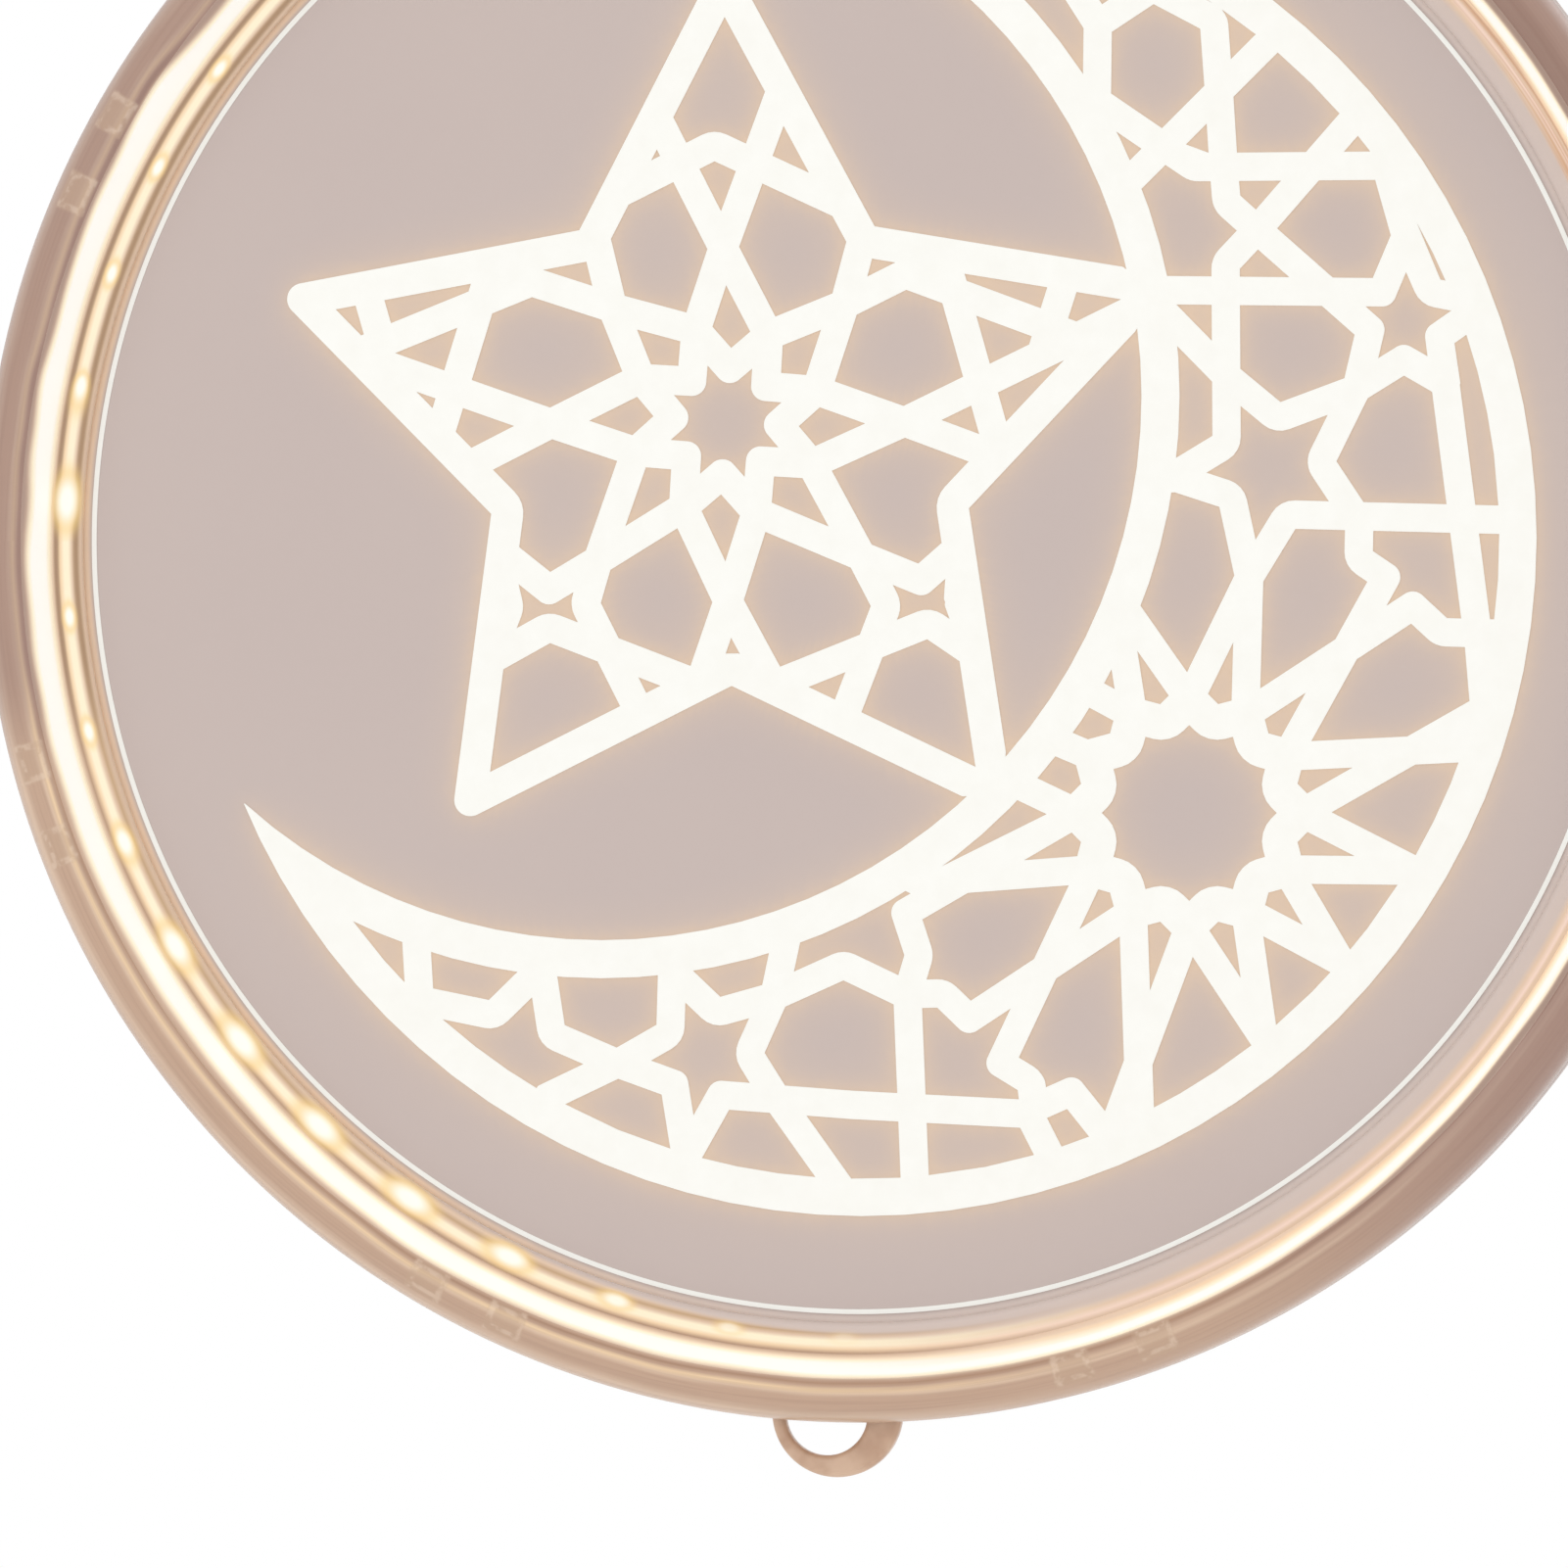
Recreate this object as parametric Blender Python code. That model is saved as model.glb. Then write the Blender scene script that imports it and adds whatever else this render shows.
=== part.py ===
"""Star and moon hanging light: a clear ring of two snapped shells round an edge-lit acrylic plate.

The plate's front face carries a thin border circle, a five-pointed star and a crescent, both filled with a
girih lattice of interlaced straps. LEDs sit on a flexible strip round the plate's edge, inside the ring.

Each piece is drawn face on, in millimetres about the ring's centre: x to the right, y up, z to the viewer.
The empty ring_centre turns that drawing upright, front to -Y, and hangs it below the top eyelet's bearing
point, which is the part's origin.
"""

import math

import bmesh
import bpy
from mathutils import Vector
from mathutils.geometry import delaunay_2d_cdt

MM = 0.001

# Light plate and the fits round it
PLATE_RADIUS = 80.6
PLATE_THICKNESS = 2.5
PLATE_CHAMFER = 0.25
CLEARANCE = 0.3
LED_COUNT = 43
LED_FIRST_ANGLE = 143.6
LED_WIDTH = 2.2
LED_LENGTH = 1.6
LED_HEIGHT = 1.1
LED_TAPER = 0.25
STRIP_THICKNESS = 0.4
STRIP_WIDTH = 2.6
RESISTOR_SIZE = (3.2, 1.6, 0.6)

# Ring shells
RING_WIDTH = 7.0
RING_DEPTH = 15.0
SKIN = 1.3
SEAT_WALL = 1.2
LIP_OVERLAP = 0.8
LIP_THICKNESS = 1.35
SIDE_DEPTH = 2.6
CROWN_CURVE = 3.4
CROWN_FLAT = 1.2
CROWN_BREAK = 0.8
SNAP_RIDGE = 0.45
SNAP_RIDGE_DROP = 0.2
SNAP_RIDGE_LENGTH = 1.4
SNAP_RIDGE_SLOPE = 0.4
SNAP_PAIRS = 8
SNAP_FIRST_ANGLE = 18.0
SNAP_SPACING = 5.9
SNAP_SWEEP = 2.6
SNAP_THICKNESS = 1.1
SNAP_ROOT_DROP = 0.3
SNAP_STEP = 0.25
HOOK_FACE = 0.5
HOOK_LENGTH = 1.6
HOOK_SLOPE = 0.1

# Eyelets: the loop and its hole have centres of their own, as (angle, radius beyond the ring's outside)
EYELET_RADIUS = 6.7
EYELET_HOLE_RADIUS = 4.2
EYELET_THICKNESS = 2.4
EYELET_INSET = 0.7
EYELET_LOOP_SHIFT = 0.3
EYELET_SETBACK = 0.15
TOP_EYELET_ANGLE = 90.0
BOTTOM_EYELET_ANGLE = 268.5
BOTTOM_HOLE_SHIFT = 0.7

# Inlet for the power lead
GROMMET_NECK_RADIUS = 1.9
GROMMET_FLANGE_RADIUS = 2.8
GROMMET_FLANGE = 0.9
GROMMET_BORE_RADIUS = 0.8
INLET_POCKET_STEP = 0.2

# Printed layer: its drawing is laid out for a plate of this radius and grows with the plate. The listed points
# were read from a view turned a little to the right, so they are stretched and shifted sideways.
DRAWING_SCALE = PLATE_RADIUS / 80.6
DRAWING_STRETCH = 1.007
DRAWING_SHIFT = 0.2
PRINT_THICKNESS = 0.35
BORDER_INSET = 1.1
BORDER_WIDTH = 0.5
PRINT_GAP = 0.1

# How finely curves are cut into facets
RING_STEPS = 72
CROWN_STEPS = 4
CAP_STEPS = 3
EYELET_STEPS = 28
INLET_STEPS = 12
CRESCENT_STEPS = 96

# Radii stacked outwards from the plate's edge
LED_FACE_RADIUS = PLATE_RADIUS + CLEARANCE
LED_BACK_RADIUS = LED_FACE_RADIUS + LED_HEIGHT
STRIP_RADIUS = LED_BACK_RADIUS + CLEARANCE
SEAT_RADIUS = STRIP_RADIUS + STRIP_THICKNESS + CLEARANCE
RING_RADIUS = SEAT_RADIUS + RING_WIDTH
LIP_RADIUS = PLATE_RADIUS - LIP_OVERLAP
SKIN_RADIUS = RING_RADIUS - SKIN
TONGUE_RADIUS = SKIN_RADIUS - SNAP_RIDGE - CLEARANCE

# Depths from the parting plane
HALF_DEPTH = RING_DEPTH / 2
PARTING = CLEARANCE / 2
PLATE_FACE = PLATE_THICKNESS / 2
LIP_DEPTH = PLATE_FACE + CLEARANCE
LIP_FRONT = LIP_DEPTH + LIP_THICKNESS

LED_PITCH = 360.0 / LED_COUNT
FEED_ANGLE = LED_FIRST_ANGLE - 7.5 * LED_PITCH
RESISTOR_ANGLE = FEED_ANGLE + LED_PITCH
HANG_DROP = RING_RADIUS - EYELET_INSET + EYELET_HOLE_RADIUS

COLOURS = {
    "clear_plastic": ((0.60, 0.47, 0.40), 0.25, 0.0),
    "acrylic": ((0.56, 0.47, 0.45), 0.12, 0.0),
    "white_print": ((0.95, 0.92, 0.85), 0.6, 0.0),
    "led": ((1.0, 0.90, 0.55), 0.4, 0.0),
    "strip": ((0.85, 0.78, 0.66), 0.5, 0.0),
    "resistor": ((0.06, 0.06, 0.07), 0.5, 0.0),
    "rubber": ((0.80, 0.76, 0.72), 0.7, 0.0),
}

# Star lattice: its centre and points are in the drawing's millimetres
STAR_CENTRE = (-13.2, 11.0)
STAR_TILT = 0.6
STAR_TIP_RADIUS = 46.0 * DRAWING_SCALE
STAR_NOTCH_RADIUS = 24.0 * DRAWING_SCALE
STAR_BORDER = 3.3 * DRAWING_SCALE
STAR_STRAP = 3.0 * DRAWING_SCALE
STAR_ROSETTE_CENTRE = (-13.6, 12.2)
STAR_ROSETTE_POINTS = 8
STAR_ROSETTE_INNER = 5.4 * DRAWING_SCALE
STAR_ROSETTE_OUTER = 9.8 * DRAWING_SCALE
STAR_ROSETTE_ANGLE = 108.5
STAR_NODES = [
    (-13.9, 29.9), (-25.2, 23.8), (-31.5, 12.0), (-26.7, -2.0),
    (-13.4, -6.2), (0.2, -1.6), (4.6, 12.1), (-1.5, 24.1),
]
STAR_TOP_POINT = [
    [(-13.9, 29.9), (-20.9, 43.7)],
    [(-13.9, 29.9), (-7.9, 46.2)],
    [(-25.2, 35.2), (-14.8, 40.4), (-1.1, 34.0)],
    [(-25.2, 23.8), (-26.9, 30.8)],
    [(-1.5, 24.1), (0.3, 30.8)],
]
STAR_LEFT_POINT = [
    [(-25.2, 23.8), (-33.5, 26.5), (-51.5, 19.2)],
    [(-37.3, 29.0), (-42.9, 10.9)],
    [(-50.6, 26.3), (-48.7, 19.7)],
    [(-31.5, 12.0), (-50.5, 18.7)],
    [(-31.5, 12.0), (-40.5, 7.4)],
]
STAR_RIGHT_POINT = [
    [(4.6, 12.1), (14.2, 8.5)],
    [(4.6, 12.1), (28.8, 23.9)],
    [(-1.5, 24.1), (4.7, 27.2), (24.3, 19.9)],
    [(8.7, 28.9), (14.2, 9.3)],
    [(21.2, 27.3), (18.6, 19.1)],
]
STAR_LOWER_LEFT_POINT = [
    [(-26.7, -2.0), (-31.7, -5.0), (-36.7, -1.0)],
    [(-26.7, -2.0), (-28.0, -6.5), (-22.3, -17.8)],
    [(-37.8, -12.2), (-31.7, -8.8), (-16.2, -14.8)],
    [(-36.8, -2.5), (-35.8, -6.8), (-37.4, -11.0)],
    [(-13.4, -6.2), (-16.0, -13.8)],
]
STAR_LOWER_RIGHT_POINT = [
    [(-13.4, -6.2), (-8.8, -14.7)],
    [(-10.6, -15.5), (7.1, -8.4), (11.8, -11.6)],
    [(0.2, -1.6), (6.3, -4.1), (10.5, -0.4)],
    [(0.2, -1.6), (2.8, -6.6), (-1.8, -18.6)],
    [(10.4, -2.0), (10.1, -6.1), (11.5, -10.0)],
]

# Crescent lattice, in the same drawing
CRESCENT_OUTER_CENTRE = (0.4, 0.2)
CRESCENT_OUTER_RADIUS = 69.15 * DRAWING_SCALE
CRESCENT_OUTER_BORDER = 3.8 * DRAWING_SCALE
CRESCENT_INNER_CENTRE = (-26.35, 14.7)
CRESCENT_INNER_RADIUS = 55.5 * DRAWING_SCALE
CRESCENT_INNER_BORDER = 3.9 * DRAWING_SCALE
CRESCENT_STRAP = 2.9 * DRAWING_SCALE
ROSETTE_CENTRE = (33.6, -27.8)
ROSETTE_POINTS = 12
ROSETTE_INNER = 9.4 * DRAWING_SCALE
ROSETTE_OUTER = 11.5 * DRAWING_SCALE
ROSETTE_STRAP = 3.6 * DRAWING_SCALE
# Where the straps that leave the rosette's outer points run, one list for each point, from the right and up
ROSETTE_RAYS = [
    [[(64.3, -16.8)], [(59.3, -35.1)]],
    [[(53.6, -3.8), (50.8, -1.9), (50.9, 2.2)], [(63.3, -21.1)]],
    [[(56.3, -6.7), (59.2, -9.4), (66.3, -9.6)], [(39.7, -3.8)]],
    [[(39.7, -3.8)], [(27.1, -7.0)]],
    [[(26.6, -9.6)], [(22.3, -14.8)]],
    [[(20.1, -20.5)]],
    [[(15.3, -24.5)], [(4.7, -38.0), (6.1, -42.3), (4.9, -46.3)]],
    [[(5.8, -34.9)], [(14.4, -53.3), (17.5, -55.2), (17.8, -57.8)]],
    [[(11.2, -48.8), (8.5, -46.2), (4.9, -46.3)], [(28.6, -58.8)]],
    [[(25.9, -60.0)], [(41.6, -51.4)]],
    [[(41.2, -51.0)], [(49.8, -43.3)]],
    [[(49.5, -43.8)], [(58.3, -33.7)]],
]
CRESCENT_RIGHT_SIDE = [
    [(39.7, -3.8), (37.9, 4.5), (31.8, 6.5)],
    [(39.7, -3.8), (43.6, 2.6), (66.3, 2.0)],
    [(63.3, 23.7), (59.0, 20.7), (63.1, -11.3), (63.7, -18.8)],
    [(59.7, 15.9), (55.4, 18.4), (50.4, 15.3), (42.6, 12.4), (37.3, 16.8), (29.5, 24.8)],
    [(40.5, 31.6), (52.0, 21.4), (50.6, 15.4), (46.9, 7.9), (50.6, 2.3)],
    [(28.8, 25.5), (53.2, 25.2), (55.6, 30.9)],
    [(31.3, 6.1), (37.4, 9.8), (37.3, 28.2), (40.5, 31.6)],
]
CRESCENT_UPPER_HORN = [
    [(40.5, 31.6), (37.4, 34.4), (37.1, 38.0), (36.6, 46.0), (36.1, 53.0)],
    [(36.1, 53.0), (29.9, 56.3), (24.3, 52.6), (24.2, 44.7)],
    [(40.5, 31.6), (51.3, 44.0)],
    [(53.5, 38.4), (55.6, 30.9), (58.1, 25.2), (64.3, 24.0)],
    [(54.8, 38.1), (34.1, 38.0), (31.0, 40.1), (24.3, 44.7)],
    [(27.3, 36.4), (31.0, 40.1), (43.5, 52.6)],
    [(15.1, 63.9), (21.0, 57.8), (24.3, 52.6)],
    [(10.2, 60.3), (16.3, 63.7)],
]
CRESCENT_LOWER_HORN = [
    [(-45.3, -40.8), (-44.9, -47.8)],
    [(-45.7, -46.8), (-37.4, -48.5), (-32.1, -43.3)],
    [(-32.5, -43.3), (-31.4, -50.5), (-24.7, -53.4), (-18.9, -55.5), (-17.7, -63.0)],
    [(-32.2, -57.0), (-24.7, -53.4), (-19.3, -50.3), (-19.1, -43.3)],
    [(-19.2, -43.8), (-14.6, -48.2), (-8.9, -46.6), (-1.6, -43.3), (4.9, -46.4)],
    [(-7.3, -40.0), (-8.7, -46.6), (-11.3, -52.4), (-9.1, -56.0), (-1.9, -66.1)],
    [(-17.7, -63.0), (-14.1, -56.6), (-0.7, -57.6), (17.3, -58.5)],
    [(4.9, -46.2), (5.7, -66.3)],
    [(17.3, -58.5), (20.0, -63.8)],
    [(17.6, -58.0), (21.6, -56.2), (25.5, -61.1)],
]


def clear_scene():
    for old in list(bpy.data.objects):
        bpy.data.objects.remove(old)


def polar(radius, degrees, centre=(0.0, 0.0)):
    angle = math.radians(degrees)
    return (centre[0] + radius * math.cos(angle), centre[1] + radius * math.sin(angle))


def material(name):
    found = bpy.data.materials.get(name)
    if found:
        return found
    colour, roughness, metallic = COLOURS[name]
    made = bpy.data.materials.new(name)
    made.use_nodes = True
    shader = made.node_tree.nodes["Principled BSDF"]
    shader.inputs["Base Color"].default_value = (*colour, 1.0)
    shader.inputs["Roughness"].default_value = roughness
    shader.inputs["Metallic"].default_value = metallic
    return made


def add_object(name, bm, material_name, centre):
    """Give a finished bmesh its object, in millimetres until here, hung on the ring_centre empty."""
    bmesh.ops.recalc_face_normals(bm, faces=bm.faces[:])
    bmesh.ops.scale(bm, vec=(MM, MM, MM), verts=bm.verts[:])
    mesh = bpy.data.meshes.new(name)
    bm.to_mesh(mesh)
    bm.free()
    mesh.materials.append(material(material_name))
    mesh.shade_smooth()
    mesh.set_sharp_from_angle(angle=math.radians(28))
    made = bpy.data.objects.new(name, mesh)
    bpy.context.collection.objects.link(made)
    made.parent = centre
    return made


def hide_tool(tool):
    """Mark an object that only cuts or joins another one."""
    tool.hide_render = True
    tool.display_type = "WIRE"
    return tool


def boolean(target, tool, operation):
    change = target.modifiers.new(f"{operation.lower()} {tool.name}", "BOOLEAN")
    change.solver = "EXACT"
    change.operation = operation
    change.object = tool


def turned_ring(bm, section):
    """Turn a closed (radius, z) section all the way round the ring's axis."""
    corners = [bm.verts.new((radius, 0.0, z)) for radius, z in section]
    edges = [bm.edges.new(pair) for pair in zip(corners, corners[1:] + corners[:1])]
    bmesh.ops.spin(bm, geom=corners + edges, cent=(0, 0, 0), axis=(0, 0, 1), angle=math.tau,
                   steps=RING_STEPS, use_merge=True)
    return bm


def turned_sector(bm, section, start, sweep, steps):
    """Turn a closed (radius, z) section through part of a turn, with flat ends."""
    angle = math.radians(start)
    corners = [bm.verts.new((radius * math.cos(angle), radius * math.sin(angle), z)) for radius, z in section]
    end = bm.faces.new(corners)
    bmesh.ops.spin(bm, geom=[end], cent=(0, 0, 0), axis=(0, 0, 1), angle=math.radians(sweep), steps=steps)
    return bm


def flat_layer(outlines, keep, back, front):
    """Merge closed outlines in the drawing's plane and raise what keep() accepts from back to front.

    keep() gets the numbers of the outlines that cover a small cell of the plane.
    """
    points = []
    loops = []
    for outline in outlines:
        loops.append(list(range(len(points), len(points) + len(outline))))
        points.extend(Vector(point) for point in outline)
    places, _, cells, _, _, covers = delaunay_2d_cdt(points, [], loops, 1, 1e-4, True)
    bm = bmesh.new()
    corners = [bm.verts.new((place.x, place.y, back)) for place in places]
    for cell, cover in zip(cells, covers):
        if keep(set(cover)):
            bm.faces.new([corners[index] for index in cell])
    bmesh.ops.delete(bm, geom=[corner for corner in bm.verts if not corner.link_faces], context="VERTS")
    bmesh.ops.dissolve_limit(bm, angle_limit=math.radians(0.5), verts=bm.verts[:], edges=bm.edges[:])
    raised = bmesh.ops.extrude_face_region(bm, geom=bm.faces[:])
    lifted = [item for item in raised["geom"] if isinstance(item, bmesh.types.BMVert)]
    bmesh.ops.translate(bm, vec=(0, 0, front - back), verts=lifted)
    return bm


def circle(centre, radius, steps=RING_STEPS):
    return [polar(radius, 360.0 * step / steps, centre) for step in range(steps)]


def strap(start, end, width):
    """Outline of one straight strap with round ends."""
    heading = math.degrees(math.atan2(end[1] - start[1], end[0] - start[0]))
    near = [polar(width / 2, heading + 90 + 180 * step / CAP_STEPS, start) for step in range(CAP_STEPS + 1)]
    far = [polar(width / 2, heading - 90 + 180 * step / CAP_STEPS, end) for step in range(CAP_STEPS + 1)]
    return near + far


def path_straps(path, width):
    return [strap(start, end, width) for start, end in zip(path, path[1:])]


def zigzag(centre, points, inner_radius, outer_radius, outer_angle):
    """Corners of a rosette's closed zigzag; outer_angle is where its first outer corner lies."""
    corners = []
    for index in range(points):
        angle = outer_angle + 360.0 * index / points
        corners.append(polar(inner_radius, angle - 180.0 / points, centre))
        corners.append(polar(outer_radius, angle, centre))
    return corners


def on_plate(point):
    """Place a true point of the drawing on this plate."""
    return (DRAWING_SCALE * point[0], DRAWING_SCALE * point[1])


def as_read(path):
    """Place points that were read from the turned view on this plate."""
    return [on_plate((DRAWING_STRETCH * x + DRAWING_SHIFT, y)) for x, y in path]


def quarter_curve(centre_radius, start_depth, width, height, steps):
    """Quarter ellipse from the outer side up to the crown."""
    points = []
    for step in range(steps + 1):
        angle = math.radians(90.0 * step / steps)
        points.append((centre_radius + width * math.cos(angle), start_depth + height * math.sin(angle)))
    return points


def shell_section(inner_side):
    """Section of one ring shell as (radius, depth) points, depth rising from the parting plane.

    It runs from the outer skin over the crown, down the sloped inner wall, round the lip over the plate's
    edge and the seat wall, then back inside the hollow; inner_side holds the points of the skin's inside.
    """
    crown_radius = RING_RADIUS - CROWN_CURVE
    crown_height = HALF_DEPTH - SIDE_DEPTH
    outside = [(RING_RADIUS, PARTING)]
    outside += quarter_curve(crown_radius, SIDE_DEPTH, CROWN_CURVE, crown_height, CROWN_STEPS)
    flat_edge = crown_radius - CROWN_FLAT
    slope = [
        (flat_edge, HALF_DEPTH),
        (flat_edge - CROWN_BREAK, HALF_DEPTH - 1.6 * CROWN_BREAK),
        (SEAT_RADIUS, LIP_FRONT),
    ]
    lip = [
        (LIP_RADIUS + LIP_THICKNESS / 4, LIP_FRONT),
        (LIP_RADIUS, LIP_FRONT - LIP_THICKNESS / 4),
        (LIP_RADIUS, LIP_DEPTH),
        (SEAT_RADIUS, LIP_DEPTH),
    ]
    seat = [(SEAT_RADIUS, PARTING), (SEAT_RADIUS + SEAT_WALL, PARTING)]
    hollow = [(SEAT_RADIUS + SEAT_WALL, LIP_FRONT), (flat_edge, HALF_DEPTH - 1.25 * SKIN)]
    roof = quarter_curve(crown_radius, SIDE_DEPTH, CROWN_CURVE - SKIN, crown_height - SKIN, CROWN_STEPS - 1)
    return outside + slope + lip + seat + hollow + roof[::-1] + inner_side + [(SKIN_RADIUS, PARTING)]


def front_ring_shell(centre):
    """Front shell: its skin carries the ridge that the rear shell's tongues snap behind."""
    top = SIDE_DEPTH - SNAP_RIDGE_DROP
    bottom = top - SNAP_RIDGE_LENGTH
    ridge = [
        (SKIN_RADIUS, top),
        (SKIN_RADIUS - SNAP_RIDGE, top - SNAP_RIDGE_SLOPE),
        (SKIN_RADIUS - SNAP_RIDGE, bottom + 1.5 * SNAP_RIDGE_SLOPE),
        (SKIN_RADIUS, bottom),
    ]
    bm = turned_ring(bmesh.new(), shell_section(ridge))
    shell = add_object("front_ring_shell", bm, "clear_plastic", centre)
    boolean(shell, inlet_cutter(centre, "front_inlet_cutter"), "DIFFERENCE")
    return shell


def snap_tongues(centre):
    """Sixteen tongues in pairs: each is rooted in the rear skin and hooks behind the front shell's ridge."""
    inside = TONGUE_RADIUS - SNAP_THICKNESS
    root = -SIDE_DEPTH + SNAP_ROOT_DROP
    step = -PARTING - SNAP_STEP
    hook_start = SIDE_DEPTH - SNAP_RIDGE_DROP + CLEARANCE
    hook_radius = SKIN_RADIUS - 1.3 * CLEARANCE
    section = [
        (inside, root),
        (RING_RADIUS - SKIN / 2, root),
        (RING_RADIUS - SKIN / 2, step),
        (TONGUE_RADIUS, step),
        (TONGUE_RADIUS, hook_start),
        (hook_radius, hook_start + HOOK_SLOPE),
        (hook_radius, hook_start + HOOK_SLOPE + HOOK_FACE),
        (inside + SNAP_THICKNESS / 2, hook_start + HOOK_LENGTH),
        (inside, hook_start + HOOK_LENGTH),
    ]
    bm = bmesh.new()
    for pair in range(SNAP_PAIRS):
        middle = SNAP_FIRST_ANGLE + 360.0 * pair / SNAP_PAIRS
        for side in (-0.5, 0.5):
            start = middle + side * SNAP_SPACING - SNAP_SWEEP / 2
            turned_sector(bm, section, start, SNAP_SWEEP, 1)
    return hide_tool(add_object("snap_tongue_joiner", bm, "clear_plastic", centre))


def eyelet(centre, name, angle, hole_angle):
    """Flat moulded loop whose feet end inside the ring's skin; the ring's own side closes the hole."""
    loop_centre = polar(RING_RADIUS - EYELET_INSET - EYELET_LOOP_SHIFT, angle)
    hole_centre = polar(RING_RADIUS - EYELET_INSET, hole_angle)
    outlines = [
        circle(loop_centre, EYELET_RADIUS, EYELET_STEPS),
        circle(hole_centre, EYELET_HOLE_RADIUS, EYELET_STEPS),
        circle((0.0, 0.0), RING_RADIUS - SKIN / 2),
    ]
    back = -PARTING - EYELET_SETBACK - EYELET_THICKNESS
    bm = flat_layer(outlines, lambda cover: 0 in cover and not cover & {1, 2}, back, back + EYELET_THICKNESS)
    return hide_tool(add_object(name, bm, "clear_plastic", centre))


def turned_piece(section, steps):
    """Turn an open (radius, z) section that starts and ends on the axis, or a closed one that clears it."""
    bm = bmesh.new()
    corners = [bm.verts.new((radius, 0.0, z)) for radius, z in section]
    edges = [bm.edges.new(pair) for pair in zip(corners, corners[1:])]
    if section[0][0] > 0.0:
        edges.append(bm.edges.new((corners[-1], corners[0])))
    bmesh.ops.spin(bm, geom=corners + edges, cent=(0, 0, 0), axis=(0, 0, 1), angle=math.tau,
                   steps=steps, use_merge=True)
    bmesh.ops.remove_doubles(bm, verts=bm.verts[:], dist=1e-4)
    return bm


def inlet_cutter(centre, name):
    """Stepped bar across the skin at the feed: a hole for the grommet's neck, and room for its inner flange."""
    neck = GROMMET_NECK_RADIUS + CLEARANCE
    flange = GROMMET_FLANGE_RADIUS + CLEARANCE
    pocket_top = -SKIN / 2 - INLET_POCKET_STEP
    section = [(0.0, -3 * SKIN), (flange, -3 * SKIN), (flange, pocket_top), (neck, pocket_top), (neck, SKIN),
               (0.0, SKIN)]
    bm = turned_piece(section, INLET_STEPS)
    place_radially(bm, RING_RADIUS - SKIN / 2)
    return hide_tool(add_object(name, bm, "rubber", centre))


def place_radially(bm, radius):
    """Turn a piece drawn about z so that its axis runs outwards at the feed, its middle at this radius."""
    turn = Vector((0, 0, 1)).rotation_difference(Vector((*polar(1.0, FEED_ANGLE), 0.0))).to_matrix()
    bmesh.ops.rotate(bm, cent=(0, 0, 0), matrix=turn, verts=bm.verts[:])
    bmesh.ops.translate(bm, vec=(*polar(radius, FEED_ANGLE), 0.0), verts=bm.verts[:])


def rear_ring_shell(centre):
    """Rear shell: the front one's mirror image without the ridge, with tongues and both eyelets moulded on."""
    section = [(radius, -depth) for radius, depth in shell_section([])]
    shell = add_object("rear_ring_shell", turned_ring(bmesh.new(), section), "clear_plastic", centre)
    bottom_hole = BOTTOM_EYELET_ANGLE - BOTTOM_HOLE_SHIFT
    boolean(shell, snap_tongues(centre), "UNION")
    boolean(shell, eyelet(centre, "top_eyelet_joiner", TOP_EYELET_ANGLE, TOP_EYELET_ANGLE), "UNION")
    boolean(shell, eyelet(centre, "bottom_eyelet_joiner", BOTTOM_EYELET_ANGLE, bottom_hole), "UNION")
    boolean(shell, inlet_cutter(centre, "rear_inlet_cutter"), "DIFFERENCE")
    return shell


def light_plate(centre):
    """Clear disc with its sharp edges broken."""
    section = [
        (PLATE_RADIUS - PLATE_CHAMFER, -PLATE_FACE),
        (PLATE_RADIUS, -PLATE_FACE + PLATE_CHAMFER),
        (PLATE_RADIUS, PLATE_FACE - PLATE_CHAMFER),
        (PLATE_RADIUS - PLATE_CHAMFER, PLATE_FACE),
    ]
    bm = bmesh.new()
    corners = [bm.verts.new((radius, 0.0, z)) for radius, z in section]
    edges = [bm.edges.new(pair) for pair in zip(corners, corners[1:])]
    bmesh.ops.spin(bm, geom=corners + edges, cent=(0, 0, 0), axis=(0, 0, 1), angle=math.tau,
                   steps=RING_STEPS, use_merge=True)
    bmesh.ops.holes_fill(bm, edges=bm.edges[:], sides=0)
    return add_object("light_plate", bm, "acrylic", centre)


def border_line(centre):
    """Thin printed circle just inside the lip."""
    radius = LIP_RADIUS - BORDER_INSET
    back = PLATE_FACE + CLEARANCE
    front = back + PRINT_THICKNESS
    inner = radius - BORDER_WIDTH / 2
    outer = radius + BORDER_WIDTH / 2
    section = [(inner, back), (outer, back), (outer, front), (inner, front)]
    return add_object("border_line", turned_ring(bmesh.new(), section), "white_print", centre)


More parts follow.
